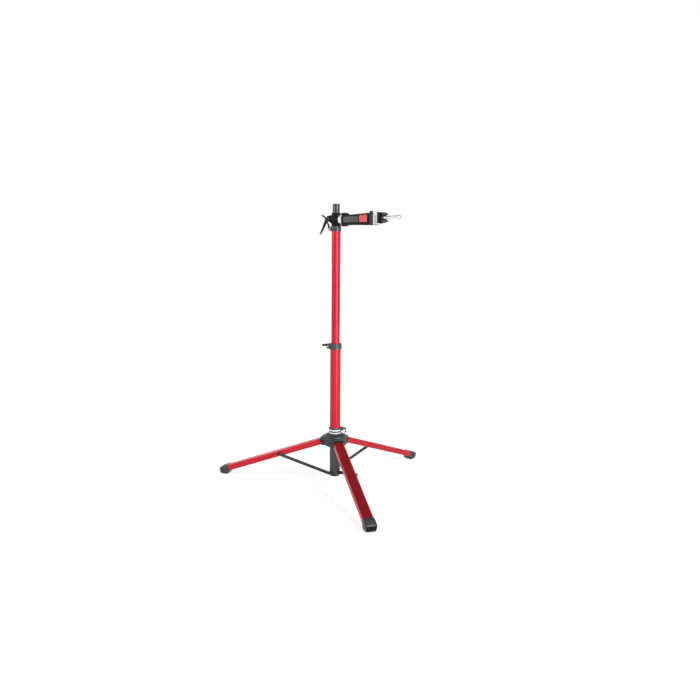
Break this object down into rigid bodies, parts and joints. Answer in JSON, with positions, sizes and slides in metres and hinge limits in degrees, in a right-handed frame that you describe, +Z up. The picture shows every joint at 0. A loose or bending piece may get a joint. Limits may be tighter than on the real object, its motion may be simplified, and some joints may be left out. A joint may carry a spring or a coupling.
{
  "type": "bicycle repair stand",
  "caption": "Folding tripod repair stand: telescoping mast on a sliding leg hub with braces, and a turning arm with a screw clamp for a frame tube or seat post.",
  "frame": {"origin": "on the floor, on the axis of the mast", "axes": "+Z up along the mast; +X along the clamp arm; +Y completes a right-handed frame, and one leg points along it"},
  "size_m": [1.2426, 1.0769, 1.5535],
  "materials": {
    "red_tube": "red anodised, satin, brushed along the tube",
    "dark_tube": "dark grey anodised, satin",
    "dark_bar": "dark grey powder coat on flat bar",
    "black_casting": "black powder coat on a casting",
    "black_moulding": "black glass-filled nylon, fine texture",
    "lever_plastic": "black nylon, slightly glossy",
    "foot_rubber": "dark grey moulded rubber",
    "liner_plastic": "natural acetal, turned",
    "polished_aluminium": "polished, turned",
    "steel": "zinc plated",
    "black_steel": "black oxide on steel fasteners, lightly oiled",
    "chrome_rod": "bright chrome on a turned rod",
    "panel": "dark grey-green insert",
    "red_plastic": "red moulded button",
    "pad": "pale grey soft pad, non-marking"
  },
  "bodies": {
    "mast": {"base_column": "dark_tube", "base_plug": "black_moulding", "brace_foot_bolts": "black_steel", "lower_tube": "red_tube", "mid_liner": "liner_plastic", "mid_collar": "black_moulding", "mid_collar_pin": "steel"},
    "mid_lever": {"mid_collar_lever": "lever_plastic"},
    "hub": {"leg_hub": "black_moulding", "leg_pivot_pins": "black_steel", "hub_liner": "liner_plastic", "hub_collar_band": "polished_aluminium", "hub_collar_ring": "black_moulding", "hub_collar_pin": "steel"},
    "hub_lever": {"hub_collar_lever": "lever_plastic"},
    "leg_1": {"leg_tube_1": "red_tube", "leg_root_1": "black_moulding", "brace_spacer_1": "black_steel", "foot_cap_1": "foot_rubber"},
    "brace_arm_1": {"brace_1": "dark_bar", "brace_bolt_1": "black_steel"},
    "leg_2": {"leg_tube_2": "red_tube", "leg_root_2": "black_moulding", "brace_spacer_2": "black_steel", "foot_cap_2": "foot_rubber"},
    "brace_arm_2": {"brace_2": "dark_bar", "brace_bolt_2": "black_steel"},
    "leg_3": {"leg_tube_3": "red_tube", "leg_root_3": "black_moulding", "brace_spacer_3": "black_steel", "foot_cap_3": "foot_rubber"},
    "brace_arm_3": {"brace_3": "dark_bar", "brace_bolt_3": "black_steel"},
    "glide": {"upper_glide": "liner_plastic"},
    "upper": {"upper_tube": "red_tube", "upper_plug": "black_moulding", "top_liner": "liner_plastic", "top_collar": "black_moulding", "top_collar_pin": "steel"},
    "top_lever": {"top_collar_lever": "lever_plastic"},
    "top": {"top_tube": "dark_tube", "top_glide": "liner_plastic", "top_cap": "black_moulding", "head_bracket": "black_casting", "head_drum": "polished_aluminium", "draw_bolt": "steel", "head_lever_pin": "steel"},
    "cam_lever": {"head_lever": "lever_plastic"},
    "arm": {"arm_body": "black_casting", "side_panel": "panel", "arm_cover": "black_casting", "rear_jaw": "black_casting", "rear_pad": "pad"},
    "button": {"release_button": "red_plastic"},
    "slider": {"guide_bar": "steel", "carriage": "black_casting"},
    "jaw": {"front_jaw": "black_casting", "front_pad": "pad", "clamp_screw": "chrome_rod"},
    "knob": {"wing_knob": "black_moulding"}
  },
  "joints": [
    {"name": "hub_slide", "type": "slide", "parent": "mast", "child": "hub", "axis": [0, 0, 1], "range_m": [0, 0.42641]},
    {"name": "leg_fold_1", "type": "hinge", "parent": "hub", "child": "leg_1", "pos_m": [0.05369, -0.031, 0.25], "axis": [0.5, 0.866, 0], "range_deg": [0, 70]},
    {"name": "brace_swing_1", "type": "hinge", "parent": "mast", "child": "brace_arm_1", "pos_m": [0, 0, 0.06], "axis": [-0.5, -0.866, 0], "range_deg": [0, 63.53]},
    {"name": "leg_fold_2", "type": "hinge", "parent": "hub", "child": "leg_2", "pos_m": [0, 0.062, 0.25], "axis": [-1, 0, 0], "range_deg": [0, 70]},
    {"name": "brace_swing_2", "type": "hinge", "parent": "mast", "child": "brace_arm_2", "pos_m": [0, 0, 0.06], "axis": [1, 0, 0], "range_deg": [0, 63.53]},
    {"name": "leg_fold_3", "type": "hinge", "parent": "hub", "child": "leg_3", "pos_m": [-0.05369, -0.031, 0.25], "axis": [0.5, -0.866, 0], "range_deg": [0, 70]},
    {"name": "brace_swing_3", "type": "hinge", "parent": "mast", "child": "brace_arm_3", "pos_m": [0, 0, 0.06], "axis": [-0.5, 0.866, 0], "range_deg": [0, 63.53]},
    {"name": "mid_lever_open", "type": "hinge", "parent": "mast", "child": "mid_lever", "pos_m": [-0.02987, -0.03093, 0.787], "axis": [0.7193, -0.6947, 0], "range_deg": [0, 90]},
    {"name": "hub_lever_open", "type": "hinge", "parent": "hub", "child": "hub_lever", "pos_m": [0.03098, 0.03208, 0.318], "axis": [0.7193, -0.6947, 0], "range_deg": [0, 100]},
    {"name": "mast_height", "type": "slide", "parent": "mast", "child": "glide", "axis": [0, 0, 1], "range_m": [-0.4, 0.08]},
    {"name": "mast_turn", "type": "hinge", "parent": "glide", "child": "upper", "pos_m": [0, 0, 0.5], "axis": [0, 0, 1], "continuous": true},
    {"name": "top_lever_open", "type": "hinge", "parent": "upper", "child": "top_lever", "pos_m": [-0.0251, -0.0251, 1.423], "axis": [0.7071, -0.7071, 0], "range_deg": [0, 95]},
    {"name": "head_height", "type": "slide", "parent": "upper", "child": "top", "axis": [0, 0, 1], "range_m": [0, 0.25]},
    {"name": "head_lever_open", "type": "hinge", "parent": "top", "child": "cam_lever", "pos_m": [-0.048, 0, 1.478], "axis": [0, 1, 0], "range_deg": [0, 86]},
    {"name": "head_turn", "type": "hinge", "parent": "top", "child": "arm", "pos_m": [0.05, 0, 1.47], "axis": [1, 0, 0], "continuous": true},
    {"name": "button_push", "type": "slide", "parent": "arm", "child": "button", "axis": [0, 1, 0], "range_m": [0, 0.0035], "stiffness_N_per_m": 1500, "springref_m": -0.002},
    {"name": "jaw_slide", "type": "slide", "parent": "arm", "child": "slider", "axis": [1, 0, 0], "range_m": [0, 0.035]},
    {"name": "jaw_feed", "type": "slide", "parent": "slider", "child": "jaw", "axis": [1, 0, 0], "range_m": [-0.006, 0]},
    {"name": "wing_turn", "type": "hinge", "parent": "slider", "child": "knob", "pos_m": [0.34, 0, 1.47], "axis": [1, 0, 0], "range_deg": [0, 725]}
  ],
  "couplings": [
    {"joint": "leg_fold_1", "follows": "hub_slide", "rad_per_m": 2.8651},
    {"joint": "brace_swing_1", "follows": "hub_slide", "rad_per_m": 2.6004},
    {"joint": "leg_fold_2", "follows": "hub_slide", "rad_per_m": 2.8651},
    {"joint": "brace_swing_2", "follows": "hub_slide", "rad_per_m": 2.6004},
    {"joint": "leg_fold_3", "follows": "hub_slide", "rad_per_m": 2.8651},
    {"joint": "brace_swing_3", "follows": "hub_slide", "rad_per_m": 2.6004},
    {"joint": "wing_turn", "follows": "jaw_feed", "rad_per_m": -2094.4}
  ]
}
